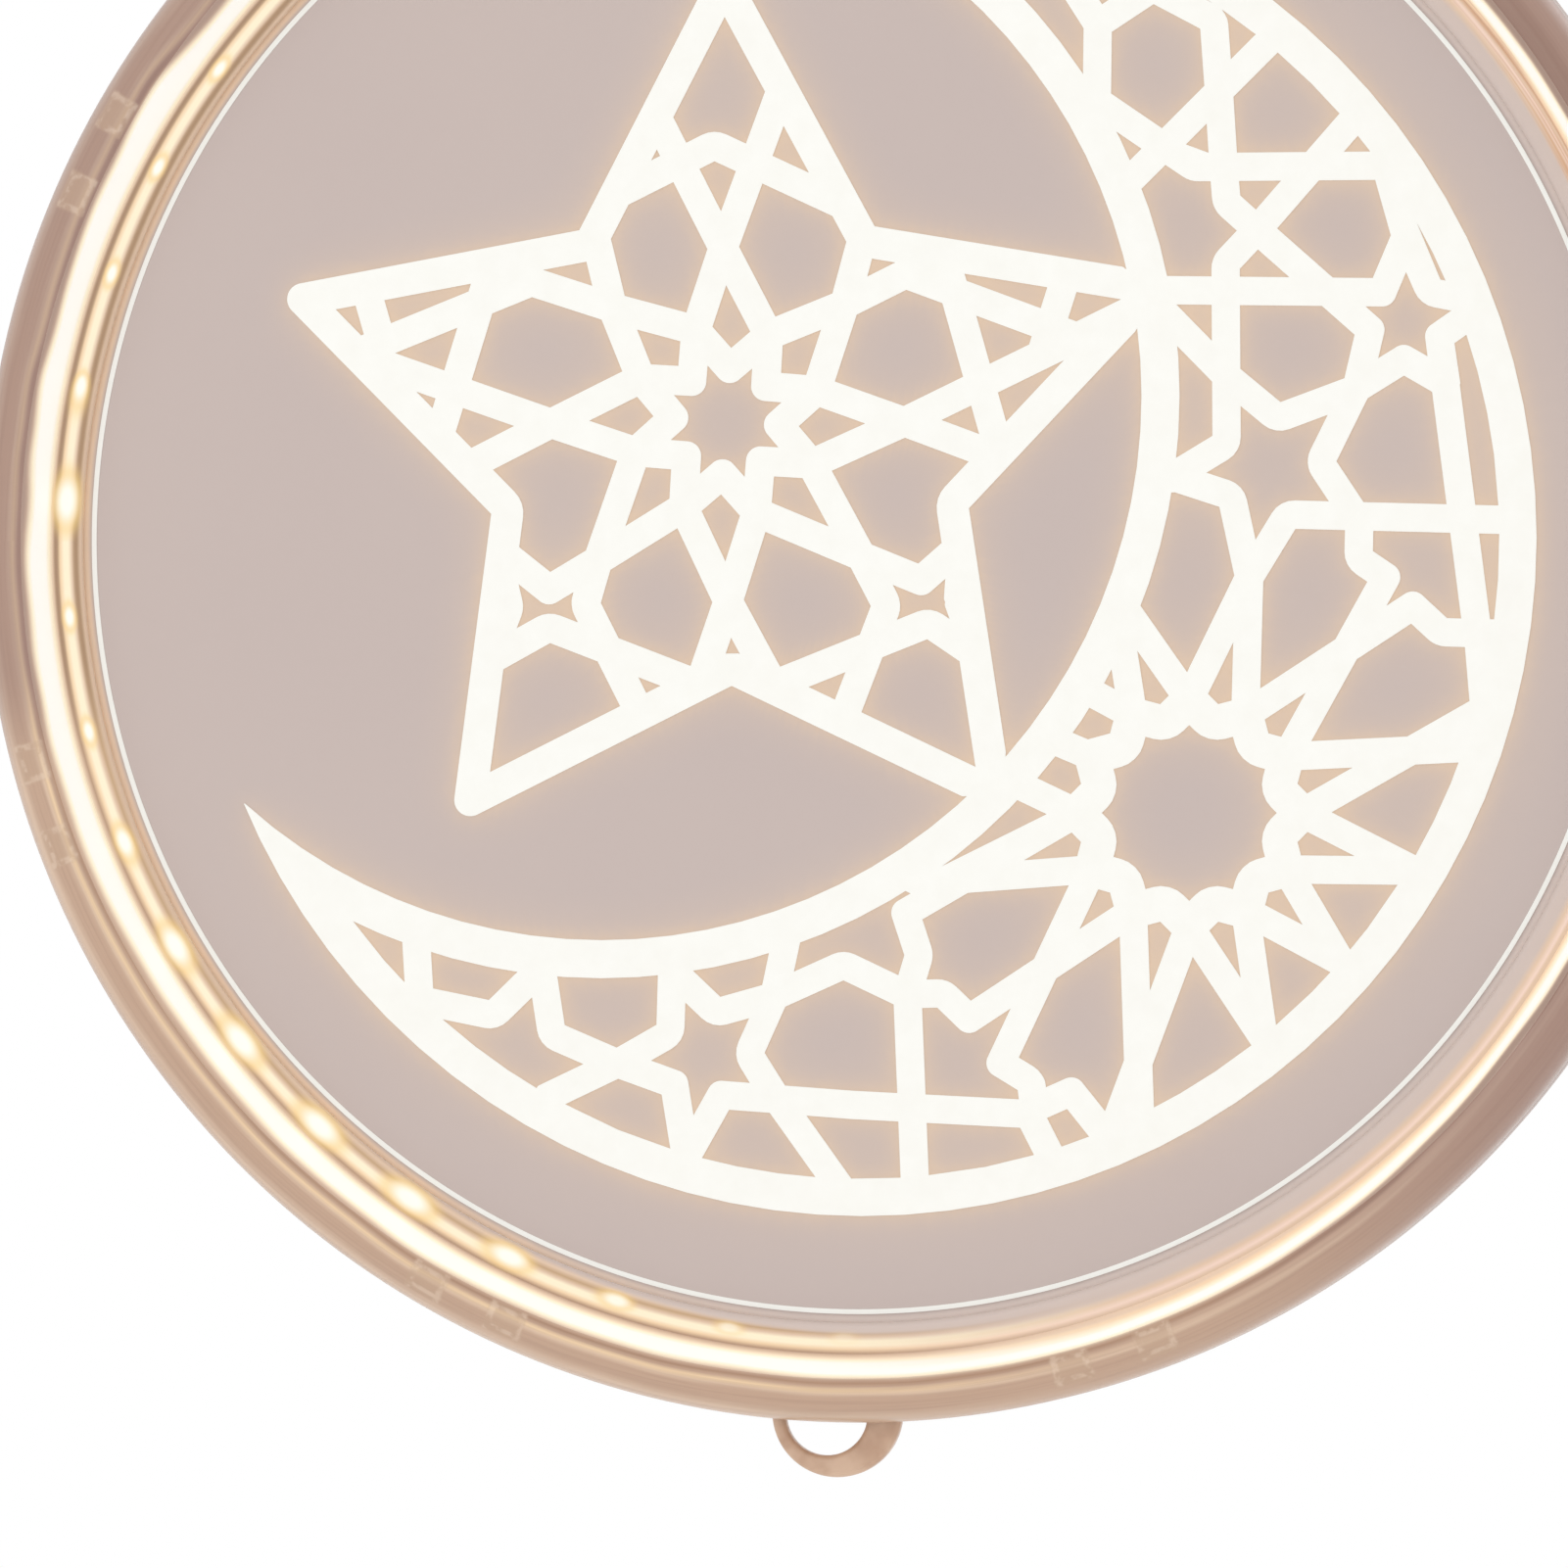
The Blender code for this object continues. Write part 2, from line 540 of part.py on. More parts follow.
def star_lattice(centre):
    """Star outline, the eight-fold rosette in its middle and the straps that fill its five points."""
    middle = on_plate(STAR_CENTRE)
    outline = []
    for point in range(5):
        tip_angle = 90.0 + STAR_TILT + 72.0 * point
        outline.append(polar(STAR_TIP_RADIUS, tip_angle, middle))
        outline.append(polar(STAR_NOTCH_RADIUS, tip_angle + 36.0, middle))
    border = path_straps(outline + outline[:1], STAR_BORDER)

    [rosette_middle] = as_read([STAR_ROSETTE_CENTRE])
    rosette = zigzag(rosette_middle, STAR_ROSETTE_POINTS, STAR_ROSETTE_INNER, STAR_ROSETTE_OUTER,
                     STAR_ROSETTE_ANGLE)
    straps = path_straps(rosette + rosette[:1], STAR_STRAP)
    ends = as_read(STAR_NODES)
    for index, outer in enumerate(rosette[1::2]):
        straps.append(strap(outer, ends[index], STAR_STRAP))
        straps.append(strap(outer, ends[(index + 1) % STAR_ROSETTE_POINTS], STAR_STRAP))
    for path in (STAR_TOP_POINT + STAR_LEFT_POINT + STAR_RIGHT_POINT + STAR_LOWER_LEFT_POINT
                 + STAR_LOWER_RIGHT_POINT):
        straps += path_straps(as_read(path), STAR_STRAP)

    crescent_edge = circle(on_plate(CRESCENT_INNER_CENTRE), CRESCENT_INNER_RADIUS - PRINT_GAP, CRESCENT_STEPS)
    outlines = [crescent_edge, outline] + border + straps
    edge, inside = 0, 1
    borders = set(range(2, 2 + len(border)))
    fill = set(range(2 + len(border), len(outlines)))

    def keep(cover):
        return edge in cover and bool(cover & borders or inside in cover and cover & fill)

    return printed_piece("star_lattice", outlines, keep, centre)


def crescent_lattice(centre):
    """Crescent outline, the twelve-fold rosette at its widest part and the straps along both horns."""
    [rosette_middle] = as_read([ROSETTE_CENTRE])
    rosette = zigzag(rosette_middle, ROSETTE_POINTS, ROSETTE_INNER, ROSETTE_OUTER, 0.0)
    straps = path_straps(rosette + rosette[:1], ROSETTE_STRAP)
    for outer, rays in zip(rosette[1::2], ROSETTE_RAYS):
        for ray in rays:
            straps += path_straps([outer] + as_read(ray), CRESCENT_STRAP)
    for path in CRESCENT_RIGHT_SIDE + CRESCENT_UPPER_HORN + CRESCENT_LOWER_HORN:
        straps += path_straps(as_read(path), CRESCENT_STRAP)

    outer_middle = on_plate(CRESCENT_OUTER_CENTRE)
    inner_middle = on_plate(CRESCENT_INNER_CENTRE)
    outlines = [
        circle(outer_middle, CRESCENT_OUTER_RADIUS, CRESCENT_STEPS),
        circle(inner_middle, CRESCENT_INNER_RADIUS, CRESCENT_STEPS),
        circle(outer_middle, CRESCENT_OUTER_RADIUS - CRESCENT_OUTER_BORDER, CRESCENT_STEPS),
        circle(inner_middle, CRESCENT_INNER_RADIUS + CRESCENT_INNER_BORDER, CRESCENT_STEPS),
    ] + straps
    disc, bite, window, bite_border = range(4)
    fill = set(range(4, len(outlines)))

    def keep(cover):
        if disc not in cover or bite in cover:
            return False
        return window not in cover or bite_border in cover or bool(cover & fill)

    return printed_piece("crescent_lattice", outlines, keep, centre)


def printed_piece(name, outlines, keep, centre):
    back = PLATE_FACE + CLEARANCE
    bm = flat_layer(outlines, keep, back, back + PRINT_THICKNESS)
    return add_object(name, bm, "white_print", centre)


def led_package(centre, index):
    """Small LED body standing on the strip, its lit face turned to the plate's edge."""
    bm = bmesh.new()
    bmesh.ops.create_cube(bm, size=1.0)
    bmesh.ops.scale(bm, vec=(LED_HEIGHT, LED_WIDTH, LED_LENGTH), verts=bm.verts[:])
    lit = min(bm.faces, key=lambda face: face.calc_center_median().x)
    inset = bmesh.ops.inset_region(bm, faces=[lit], thickness=LED_TAPER, depth=0.0)
    rim = [vert for face in inset["faces"] for vert in face.verts if vert not in lit.verts]
    bmesh.ops.translate(bm, vec=(LED_TAPER, 0, 0), verts=list(set(rim)))
    bmesh.ops.translate(bm, vec=(LED_FACE_RADIUS + LED_HEIGHT / 2, 0, 0), verts=bm.verts[:])
    led = add_object(f"led_{index + 1:02d}", bm, "led", centre)
    led.rotation_euler.z = math.radians(LED_FIRST_ANGLE + index * LED_PITCH)
    return led


def led_strip(centre):
    """Flexible circuit standing behind the LEDs, open where the lead enters."""
    inner = STRIP_RADIUS
    outer = STRIP_RADIUS + STRIP_THICKNESS
    half = STRIP_WIDTH / 2
    opening = LED_PITCH / 2
    section = [(inner, -half), (outer, -half), (outer, half), (inner, half)]
    bm = turned_sector(bmesh.new(), section, FEED_ANGLE + opening / 2, 360.0 - opening, RING_STEPS)
    return add_object("led_strip", bm, "strip", centre)


def strip_resistor(centre):
    """Chip resistor on the strip, between the two LEDs next to the feed."""
    width, length, height = RESISTOR_SIZE
    bm = bmesh.new()
    bmesh.ops.create_cube(bm, size=1.0)
    bmesh.ops.scale(bm, vec=(height, width, length), verts=bm.verts[:])
    sag = STRIP_RADIUS - math.sqrt(STRIP_RADIUS ** 2 - (width / 2) ** 2)
    bmesh.ops.translate(bm, vec=(LED_BACK_RADIUS - sag - height / 2, 0, 0), verts=bm.verts[:])
    resistor = add_object("strip_resistor", bm, "resistor", centre)
    resistor.rotation_euler.z = math.radians(RESISTOR_ANGLE)
    return resistor


def lead_grommet(centre):
    """Turned rubber inlet with a flange on each side of the skin and a bore for the thin lead."""
    neck = SKIN / 2 + 1.5 * CLEARANCE
    top = neck + GROMMET_FLANGE
    section = [
        (GROMMET_BORE_RADIUS, -top),
        (GROMMET_FLANGE_RADIUS, -top),
        (GROMMET_FLANGE_RADIUS, -neck),
        (GROMMET_NECK_RADIUS, -neck),
        (GROMMET_NECK_RADIUS, neck),
        (GROMMET_FLANGE_RADIUS, neck),
        (GROMMET_FLANGE_RADIUS, top - GROMMET_FLANGE / 2),
        (GROMMET_FLANGE_RADIUS - GROMMET_FLANGE / 2, top),
        (GROMMET_BORE_RADIUS, top),
    ]
    bm = turned_piece(section, INLET_STEPS)
    place_radially(bm, RING_RADIUS - SKIN / 2)
    return add_object("lead_grommet", bm, "rubber", centre)


def build():
    clear_scene()
    centre = bpy.data.objects.new("ring_centre", None)
    bpy.context.collection.objects.link(centre)
    centre.location = (0.0, 0.0, -HANG_DROP * MM)
    centre.rotation_euler.x = math.radians(90)
    front_ring_shell(centre)
    rear_ring_shell(centre)
    light_plate(centre)
    star_lattice(centre)
    crescent_lattice(centre)
    border_line(centre)
    led_strip(centre)
    for index in range(LED_COUNT):
        led_package(centre, index)
    strip_resistor(centre)
    lead_grommet(centre)


build()
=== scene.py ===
import math

import bmesh
import bpy
import numpy as np
from mathutils import Matrix, Vector
from mathutils.bvhtree import BVHTree


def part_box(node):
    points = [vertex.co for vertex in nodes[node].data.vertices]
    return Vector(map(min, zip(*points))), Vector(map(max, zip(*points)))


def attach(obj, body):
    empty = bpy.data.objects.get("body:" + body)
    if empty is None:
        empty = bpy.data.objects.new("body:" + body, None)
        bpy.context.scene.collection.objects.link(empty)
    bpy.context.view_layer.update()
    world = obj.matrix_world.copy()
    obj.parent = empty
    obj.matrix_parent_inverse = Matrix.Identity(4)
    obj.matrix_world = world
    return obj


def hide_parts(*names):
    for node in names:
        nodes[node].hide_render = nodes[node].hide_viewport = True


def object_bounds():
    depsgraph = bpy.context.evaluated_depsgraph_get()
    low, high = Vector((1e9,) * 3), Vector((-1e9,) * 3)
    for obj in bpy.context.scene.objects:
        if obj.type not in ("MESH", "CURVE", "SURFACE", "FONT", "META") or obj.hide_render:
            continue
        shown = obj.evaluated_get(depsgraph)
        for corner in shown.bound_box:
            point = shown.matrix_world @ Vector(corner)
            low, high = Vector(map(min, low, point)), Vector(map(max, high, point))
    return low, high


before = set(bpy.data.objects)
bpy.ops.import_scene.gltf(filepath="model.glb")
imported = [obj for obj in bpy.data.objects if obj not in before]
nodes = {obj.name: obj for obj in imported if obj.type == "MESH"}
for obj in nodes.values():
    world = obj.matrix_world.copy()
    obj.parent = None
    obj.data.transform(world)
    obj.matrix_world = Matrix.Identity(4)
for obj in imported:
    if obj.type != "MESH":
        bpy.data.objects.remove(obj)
cad_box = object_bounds()


# Light plate.
# The plate is a polished disc of clear acrylic, lit through its edge. It reads as a soft mauve grey. A warm glow
# close to every printed strap, where the ink scatters light back into the sheet, is painted into its colour, and so
# is a glow at its edge by the lip.

plate_low, plate_high = (Vector(corner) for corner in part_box("light_plate"))
ring_axis = (plate_low + plate_high) / 2
plate_radius = (plate_high.x - plate_low.x) / 2
plate_face = plate_low.y
plate_back = plate_high.y


def paint(red, green, blue):
    """Turn a colour as a screen shows it, from 0 to 255, into the linear values that materials take."""
    linear = []
    for level in (red, green, blue):
        share = level / 255
        linear.append(share / 12.92 if share <= 0.04045 else ((share + 0.055) / 1.055) ** 2.4)
    return (*linear, 1.0)


def new_finish(name):
    """An empty node material with its output and shader; returns material, nodes, links and shader."""
    finish = bpy.data.materials.new(name)
    finish.use_nodes = True
    tree = finish.node_tree
    shader = tree.nodes["Principled BSDF"]
    return finish, tree.nodes, tree.links, shader


def add_piece(name, bm, finish, smooth_angle=30):
    """Make a finished mesh, already in place, a piece of the fixed body with its material and slot."""
    bmesh.ops.remove_doubles(bm, verts=bm.verts[:], dist=1e-7)
    bmesh.ops.recalc_face_normals(bm, faces=bm.faces[:])
    mesh = bpy.data.meshes.new(name)
    bm.to_mesh(mesh)
    bm.free()
    mesh.materials.append(finish)
    mesh.shade_smooth()
    mesh.set_sharp_from_angle(angle=math.radians(smooth_angle))
    piece = bpy.data.objects.new(name, mesh)
    bpy.context.collection.objects.link(piece)
    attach(piece, "root")
    return piece


def turn_about_ring(section, steps, start=0.0, sweep=360.0, closed=True):
    """Spin a (radius, depth) section about the ring's axis; depth is measured to the back, in metres."""
    bm = bmesh.new()
    angle = math.radians(start)
    corners = []
    for radius, depth in section:
        place = Vector((radius * math.cos(angle), depth, radius * math.sin(angle)))
        corners.append(bm.verts.new(ring_axis + place - Vector((0, ring_axis.y, 0))))
    whole = sweep >= 360.0
    if whole:
        pairs = list(zip(corners, corners[1:])) + ([(corners[-1], corners[0])] if closed else [])
        profile = corners + [bm.edges.new(pair) for pair in pairs]
    else:
        profile = [bm.faces.new(corners)]
    bmesh.ops.spin(bm, geom=profile, cent=ring_axis, axis=(0, -1, 0), angle=math.radians(sweep), steps=steps,
                   use_merge=whole, use_duplicate=False)
    return bm


def reckon(parts, links, operation, first, second=None):
    """One step of arithmetic in a material; each input is a socket or a number."""
    step = parts.new("ShaderNodeMath")
    step.operation = operation
    for socket, value in zip(step.inputs, (first, second)):
        if isinstance(value, (int, float)):
            socket.default_value = value
        elif value is not None:
            links.new(value, socket)
    return step.outputs["Value"]


def times(parts, links, first, *others):
    """Product of two or more values in a material."""
    product = first
    for other in others:
        product = reckon(parts, links, "MULTIPLY", product, other)
    return product


def apart(parts, links, value, place):
    """Distance between a value and a place, never negative."""
    return reckon(parts, links, "ABSOLUTE", reckon(parts, links, "SUBTRACT", value, place))


def length_of(parts, links, first, second):
    """Length of a way whose two legs are square to each other."""
    squares = reckon(parts, links, "ADD", times(parts, links, first, first), times(parts, links, second, second))
    return reckon(parts, links, "SQRT", squares)


def grain(parts, links, scale, detail=2.0):
    """Noise between 0 and 1 that stays with the piece; a larger scale is finer."""
    place = parts.new("ShaderNodeTexCoord")
    noise = parts.new("ShaderNodeTexNoise")
    noise.inputs["Scale"].default_value = scale
    noise.inputs["Detail"].default_value = detail
    links.new(place.outputs["Object"], noise.inputs["Vector"])
    return noise.outputs["Fac"]


def fade(parts, links, value, low, high, smooth=True):
    """Rise from 0 to 1 between two values."""
    span = parts.new("ShaderNodeMapRange")
    span.interpolation_type = "SMOOTHSTEP" if smooth else "LINEAR"
    span.inputs["From Min"].default_value = low
    span.inputs["From Max"].default_value = high
    links.new(value, span.inputs["Value"])
    return span.outputs["Result"]


def blend(parts, links, factor, first, second):
    """Mix two colours; each is a socket or a screen colour."""
    mix = parts.new("ShaderNodeMix")
    mix.data_type = "RGBA"
    links.new(factor, mix.inputs["Factor"])
    for socket, colour in ((mix.inputs["A"], first), (mix.inputs["B"], second)):
        if isinstance(colour, tuple):
            socket.default_value = paint(*colour)
        else:
            links.new(colour, socket)
    return mix.outputs["Result"]


def round_the_ring(parts, links):
    """Radius in millimetres, angle in degrees and lean to the right, from -1 to 1, at a point of the ring."""
    place = parts.new("ShaderNodeTexCoord")
    split = parts.new("ShaderNodeSeparateXYZ")
    links.new(place.outputs["Object"], split.inputs["Vector"])
    across = split.outputs["X"]
    up = reckon(parts, links, "SUBTRACT", split.outputs["Z"], ring_axis.z)
    metres = length_of(parts, links, across, up)
    radius = times(parts, links, metres, 1000.0)
    angle = times(parts, links, reckon(parts, links, "ARCTAN2", up, across), 180 / math.pi)
    return radius, angle, reckon(parts, links, "DIVIDE", across, metres)


def banded(parts, links, radius, stops):
    """Colours by radius: stops are (radius in millimetres, screen colour)."""
    start, end = stops[0][0], stops[-1][0]
    ramp = parts.new("ShaderNodeValToRGB")
    elements = ramp.color_ramp.elements
    while len(elements) < len(stops):
        elements.new(0.5)
    for element, (place, colour) in zip(elements, stops):
        element.position = (place - start) / (end - start)
        element.color = paint(*colour)
    links.new(fade(parts, links, radius, start, end, smooth=False), ramp.inputs["Fac"])
    return ramp.outputs["Color"]


glow_cell = 0.0003
mask_cells = math.ceil(2 * plate_radius / glow_cell)
mask_corner = ring_axis - Vector((plate_radius, 0.0, plate_radius))
# Reaches and shares of the painted glow that the straps spread over the plate.
painted_glow_reaches = ((0.0009, 0.55), (0.0028, 0.45))
print_reaches = ((0.00055, 1.0),)
flat_facing = 0.9
plate_chamfer = 0.00025
print_radius = 0.072
beyond_print = 0.004
border_inset = 0.0013
front_rings = 118
back_rings = 80
plate_sectors = 480

section = [(print_radius * ring / front_rings, plate_face) for ring in range(front_rings + 1)]
section += [
    (print_radius + beyond_print, plate_face),
    (plate_radius - border_inset, plate_face),
    (plate_radius - plate_chamfer, plate_face),
    (plate_radius, plate_face + plate_chamfer),
    (plate_radius, plate_back - plate_chamfer),
    (plate_radius - plate_chamfer, plate_back),
]
section += [(print_radius * ring / back_rings, plate_back) for ring in range(back_rings, -1, -1)]
bm = turn_about_ring(section, plate_sectors, closed=False)


def straps_tree(names):
    """Search tree over the printed straps, pressed flat on the plate's face."""
    places = []
    faces = []
    for name in names:
        mesh = nodes[name].data
        first = len(places)
        places += [Vector((vert.co.x, plate_face, vert.co.z)) for vert in mesh.vertices]
        faces += [[first + index for index in face.vertices] for face in mesh.polygons
                  if abs(face.normal.y) > flat_facing]
    return BVHTree.FromPolygons(places, faces)


def ink_mask():
    """Square grid over the plate's face with 1 where the star or the crescent is printed, and 0 elsewhere."""
    tree = straps_tree(["star_lattice", "crescent_lattice"])
    ink = np.zeros((mask_cells, mask_cells))
    for row in range(mask_cells):
        for column in range(mask_cells):
            point = Vector((mask_corner.x + (column + 0.5) * glow_cell, plate_face,
                            mask_corner.z + (row + 0.5) * glow_cell))
            ink[row, column] = tree.find_nearest(point, glow_cell / 2)[0] is not None
    return ink


def glow_from(ink, places, reaches):
    """Light that the straps send to each place: the share of ink near it, from 0 to 1, by (reach, share) pairs."""
    waves = np.fft.fftfreq(mask_cells, glow_cell)
    squares = waves[:, None] ** 2 + waves[None, :] ** 2
    soft = sum(share * np.exp(-2 * (math.pi * reach) ** 2 * squares) for reach, share in reaches)
    spread = np.fft.ifft2(np.fft.fft2(ink) * soft).real
    found = []
    for place in places:
        column = min(mask_cells - 1, max(0, int((place.x - mask_corner.x) / glow_cell)))
        row = min(mask_cells - 1, max(0, int((place.z - mask_corner.z) / glow_cell)))
        found.append(min(1.0, max(0.0, spread[row, column])))
    return found


plate_finish, parts, links, shader = new_finish("edge_lit_acrylic")
shader.inputs["Roughness"].default_value = 0.16
shader.inputs["IOR"].default_value = 1.49
shader.inputs["Alpha"].default_value = 0.93
shader.inputs["Emission Color"].default_value = paint(199, 184, 178)
shader.inputs["Emission Strength"].default_value = 0.05
# Painted glow: the plate turns warmer and lighter close to the straps, standing for light that the ink scatters back
# into the sheet.
painted_glow = parts.new("ShaderNodeAttribute")
painted_glow.attribute_name = "painted_glow"
body_tone = blend(parts, links, grain(parts, links, 22.0, 4.0), (190, 174, 169), (196, 180, 173))
painted_glow_share = fade(parts, links, painted_glow.outputs["Fac"], 0.02, 0.75, smooth=False)
painted_glow_tone = blend(parts, links, painted_glow_share, body_tone, (220, 193, 167))
radius, angle, lean = round_the_ring(parts, links)
# Painted glow at the plate's edge beside the lip, lighter and warmer on the left side.
edge_glow_tone = blend(parts, links, fade(parts, links, lean, 0.0, -0.7), (218, 202, 194), (234, 204, 174))
with_edge_glow = blend(parts, links, fade(parts, links, radius, 78.9, 79.5), painted_glow_tone, edge_glow_tone)
print_behind = parts.new("ShaderNodeAttribute")
print_behind.attribute_name = "print_behind"
seen_through = fade(parts, links, print_behind.outputs["Fac"], 0.38, 0.68)
links.new(blend(parts, links, seen_through, with_edge_glow, (238, 230, 218)), shader.inputs["Base Color"])

plate = add_piece("lit_plate", bm, plate_finish)
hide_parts("light_plate")
places = [vert.co for vert in plate.data.vertices]
ink = ink_mask()
# Strength of the painted glow near the straps, at each corner of the plate.
painted_glow_values = glow_from(ink, places, painted_glow_reaches)
plate.data.attributes.new("painted_glow", "FLOAT", "POINT").data.foreach_set("value", painted_glow_values)
print_values = glow_from(ink, places, print_reaches)
print_values = [value if place.y > plate_back - 1e-6 else 0.0 for place, value in zip(places, print_values)]
plate.data.attributes.new("print_behind", "FLOAT", "POINT").data.foreach_set("value", print_values)


# Printed star, crescent and border line.
# A layer of white ink on the plate's face. The light in the acrylic leaves through it, so the straps glow a
# warm white, slightly creamier at their edges.

ink_finish, parts, links, shader = new_finish("glowing_white_ink")
shader.inputs["Roughness"].default_value = 0.6
shader.inputs["Specular IOR Level"].default_value = 0.2
shader.inputs["Emission Color"].default_value = paint(255, 250, 240)
shader.inputs["Emission Strength"].default_value = 0.12
ink_tone = blend(parts, links, grain(parts, links, 420.0, 3.0), (229, 228, 222), (235, 235, 231))
links.new(ink_tone, shader.inputs["Base Color"])

ink_front = plate_face - 0.00015
ink_back = plate_face - 0.00001
end_rounding = 0.0009
bend_rounding = 0.00035
drawing_scale = plate_radius / 80.6
star_cut_centre = ring_axis + Vector((-26.35, 0.0, 14.7)) * drawing_scale
star_cut_radius = 55.4 * drawing_scale
star_cut_slack = 4e-5
star_cut_gap = 1e-4
line_width = 0.0005


def outlines_of(name):
    """Closed outlines of a printed layer's front, as lists of points, the ink at the left of their run."""
    source = bmesh.new()
    source.from_mesh(nodes[name].data)
    bmesh.ops.transform(source, matrix=nodes[name].matrix_world, verts=source.verts[:])
    bmesh.ops.remove_doubles(source, verts=source.verts[:], dist=2e-6)
    follows = {}
    for face in source.faces:
        if face.normal.y > -flat_facing:
            continue
        for loop in face.loops:
            if abs(loop.link_loop_radial_next.face.normal.y) < 0.5:
                follows[loop.vert.index] = loop.link_loop_next.vert.index
    source.verts.ensure_lookup_table()
    places = [vert.co.copy() for vert in source.verts]
    source.free()
    found = []
    while follows:
        start, step = follows.popitem()
        outline = [places[start]]
        while step != start:
            outline.append(places[step])
            step = follows.pop(step)
        found.append(outline)
    return found


def with_corners(outline):
    """Each corner of an outline with the ways back and ahead, how far it turns and whether ink sticks out."""
    for before, corner, after in zip(outline[-1:] + outline[:-1], outline, outline[1:] + outline[:1]):
        back = before - corner
        ahead = after - corner
        yield corner, back, ahead, math.pi - back.angle(ahead), (-back).cross(ahead).y < 0


def with_round_tips(outline):
    """Put one true arc in place of the short facets where two straps meet at a tip."""
    facet = 0.0009
    start = max(range(len(outline)), key=lambda index: (outline[index] - outline[index - 1]).length)
    outline = outline[start:] + outline[:start]
    made = []
    first = 0
    while first < len(outline):
        last = first
        while last + 1 < len(outline) and (outline[last + 1] - outline[last]).length < facet:
            last += 1
        group = outline[first:last + 1]
        before = outline[first - 1]
        after = outline[(last + 1) % len(outline)]
        made += arc_through(before, group, after) if len(group) > 3 else group
        first = last + 1
    return made


def arc_through(before, group, after):
    """Arc that leaves the strap edge before a group of points and meets the one after it, or the group itself."""
    way_in = (group[0] - before).normalized()
    way_out = (after - group[-1]).normalized()
    turn = way_in.angle(way_out)
    if turn < math.radians(60) or way_in.cross(way_out).y > 0:
        return group
    radius = (group[-1] - group[0]).length / (2 * math.sin(turn / 2))
    inward = Vector((-way_in.z, 0.0, way_in.x))
    steps = math.ceil(math.degrees(turn) / 7)
    angles = [turn * step / steps for step in range(steps + 1)]
    arc = [group[0] + radius * (inward - inward * math.cos(angle) + way_in * math.sin(angle)) for angle in angles]
    return arc if (arc[-1] - group[-1]).length < 0.0002 else group


def rounded(outline):
    """Round the corners where a strap ends, and leave the ones between crossing straps sharp."""
    short = 0.0021
    outline = [corner for corner, back, ahead, turn, outward in with_corners(outline)
               if outward or turn > math.radians(35) or min(back.length, ahead.length) > short]
    made = []
    for corner, back, ahead, turn, outward in with_corners(outline):
        if turn < math.radians(12) or not outward:
            made.append(corner)
            continue
        at_end = min(back.length, ahead.length) < short
        reach = min(end_rounding if at_end else bend_rounding, back.length * 0.49, ahead.length * 0.49)
        first = corner + back.normalized() * reach
        last = corner + ahead.normalized() * reach
        steps = max(2, round(math.degrees(turn) / 12))
        for step in range(steps + 1):
            share = step / steps
            made.append((1 - share) ** 2 * first + 2 * share * (1 - share) * corner + share ** 2 * last)
    return made


def inked(name, piece_name):
    """The printed layer with rounded strap ends, lying on the plate; the star closes up to the crescent."""
    bm = bmesh.new()
    for outline in outlines_of(name):
        row = []
        for point in rounded(with_round_tips(outline)):
            from_centre = Vector((point.x, ring_axis.y, point.z)) - star_cut_centre
            if name == "star_lattice" and abs(from_centre.length - star_cut_radius) < star_cut_slack:
                point = point + from_centre.normalized() * star_cut_gap
            row.append(bm.verts.new((point.x, ink_back, point.z)))
        for pair in zip(row, row[1:] + row[:1]):
            bm.edges.new(pair)
    bmesh.ops.triangle_fill(bm, edges=bm.edges[:], use_beauty=True)
    raised = bmesh.ops.extrude_face_region(bm, geom=bm.faces[:])
    lifted = [item for item in raised["geom"] if isinstance(item, bmesh.types.BMVert)]
    bmesh.ops.translate(bm, vec=(0, ink_front - ink_back, 0), verts=lifted)
    piece = add_piece(piece_name, bm, ink_finish)
    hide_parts(name)


inked("star_lattice", "star_print")
inked("crescent_lattice", "crescent_print")

line_low, line_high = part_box("border_line")
line_outer = (line_high[0] - line_low[0]) / 2
line_inner = line_outer - line_width
line_section = [(line_inner, ink_back), (line_outer, ink_back), (line_outer, ink_front), (line_inner, ink_front)]
line_finish = ink_finish.copy()
line_finish.name = "thin_white_ink"
line_finish.node_tree.nodes["Principled BSDF"].inputs["Emission Strength"].default_value = 0.08
border_line = add_piece("border_print", turn_about_ring(line_section, 360), line_finish)
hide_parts("border_line")


# Front ring shell.
# One clear moulding, made here as three rings by how it reads: the smoky rounded rim, the sloped inner wall
# that the LEDs flood with light, and the clear lip that holds the plate's edge. That light, the LED glints, and the
# shade in the grooves and on the darker side are painted into the rings' colours.

ring_low, ring_high = (Vector(corner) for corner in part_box("front_ring_shell"))
ring_radius = (ring_high.x - ring_low.x) / 2
front_depth = ring_low.y
parting = -ring_high.y
ring_sectors = 288
rim_curve = 0.0034
rim_side = 0.0026
rim_flat = 0.0012
rim_break = 0.0008
skin = 0.0013
seat_radius = ring_radius - 0.0070
seat_wall = 0.0012
lip_radius = plate_radius - 0.0008
lip_depth = 0.00155
lip_front = 0.0029


led_first = 143.6
led_pitch = 360 / 43
tongue_first = 18.0
tongue_pairs = 8
tongue_pitch = 360 / tongue_pairs
tongue_spacing = 5.9


def from_nearest(parts, links, angle, first, pitch):
    """Degrees round the ring to the nearest of a row of marks, the LEDs or the pairs of tongues."""
    turns = reckon(parts, links, "DIVIDE", reckon(parts, links, "SUBTRACT", angle, first), pitch)
    share = reckon(parts, links, "FRACT", reckon(parts, links, "ADD", turns, 50.5))
    return times(parts, links, apart(parts, links, share, 0.5), pitch)


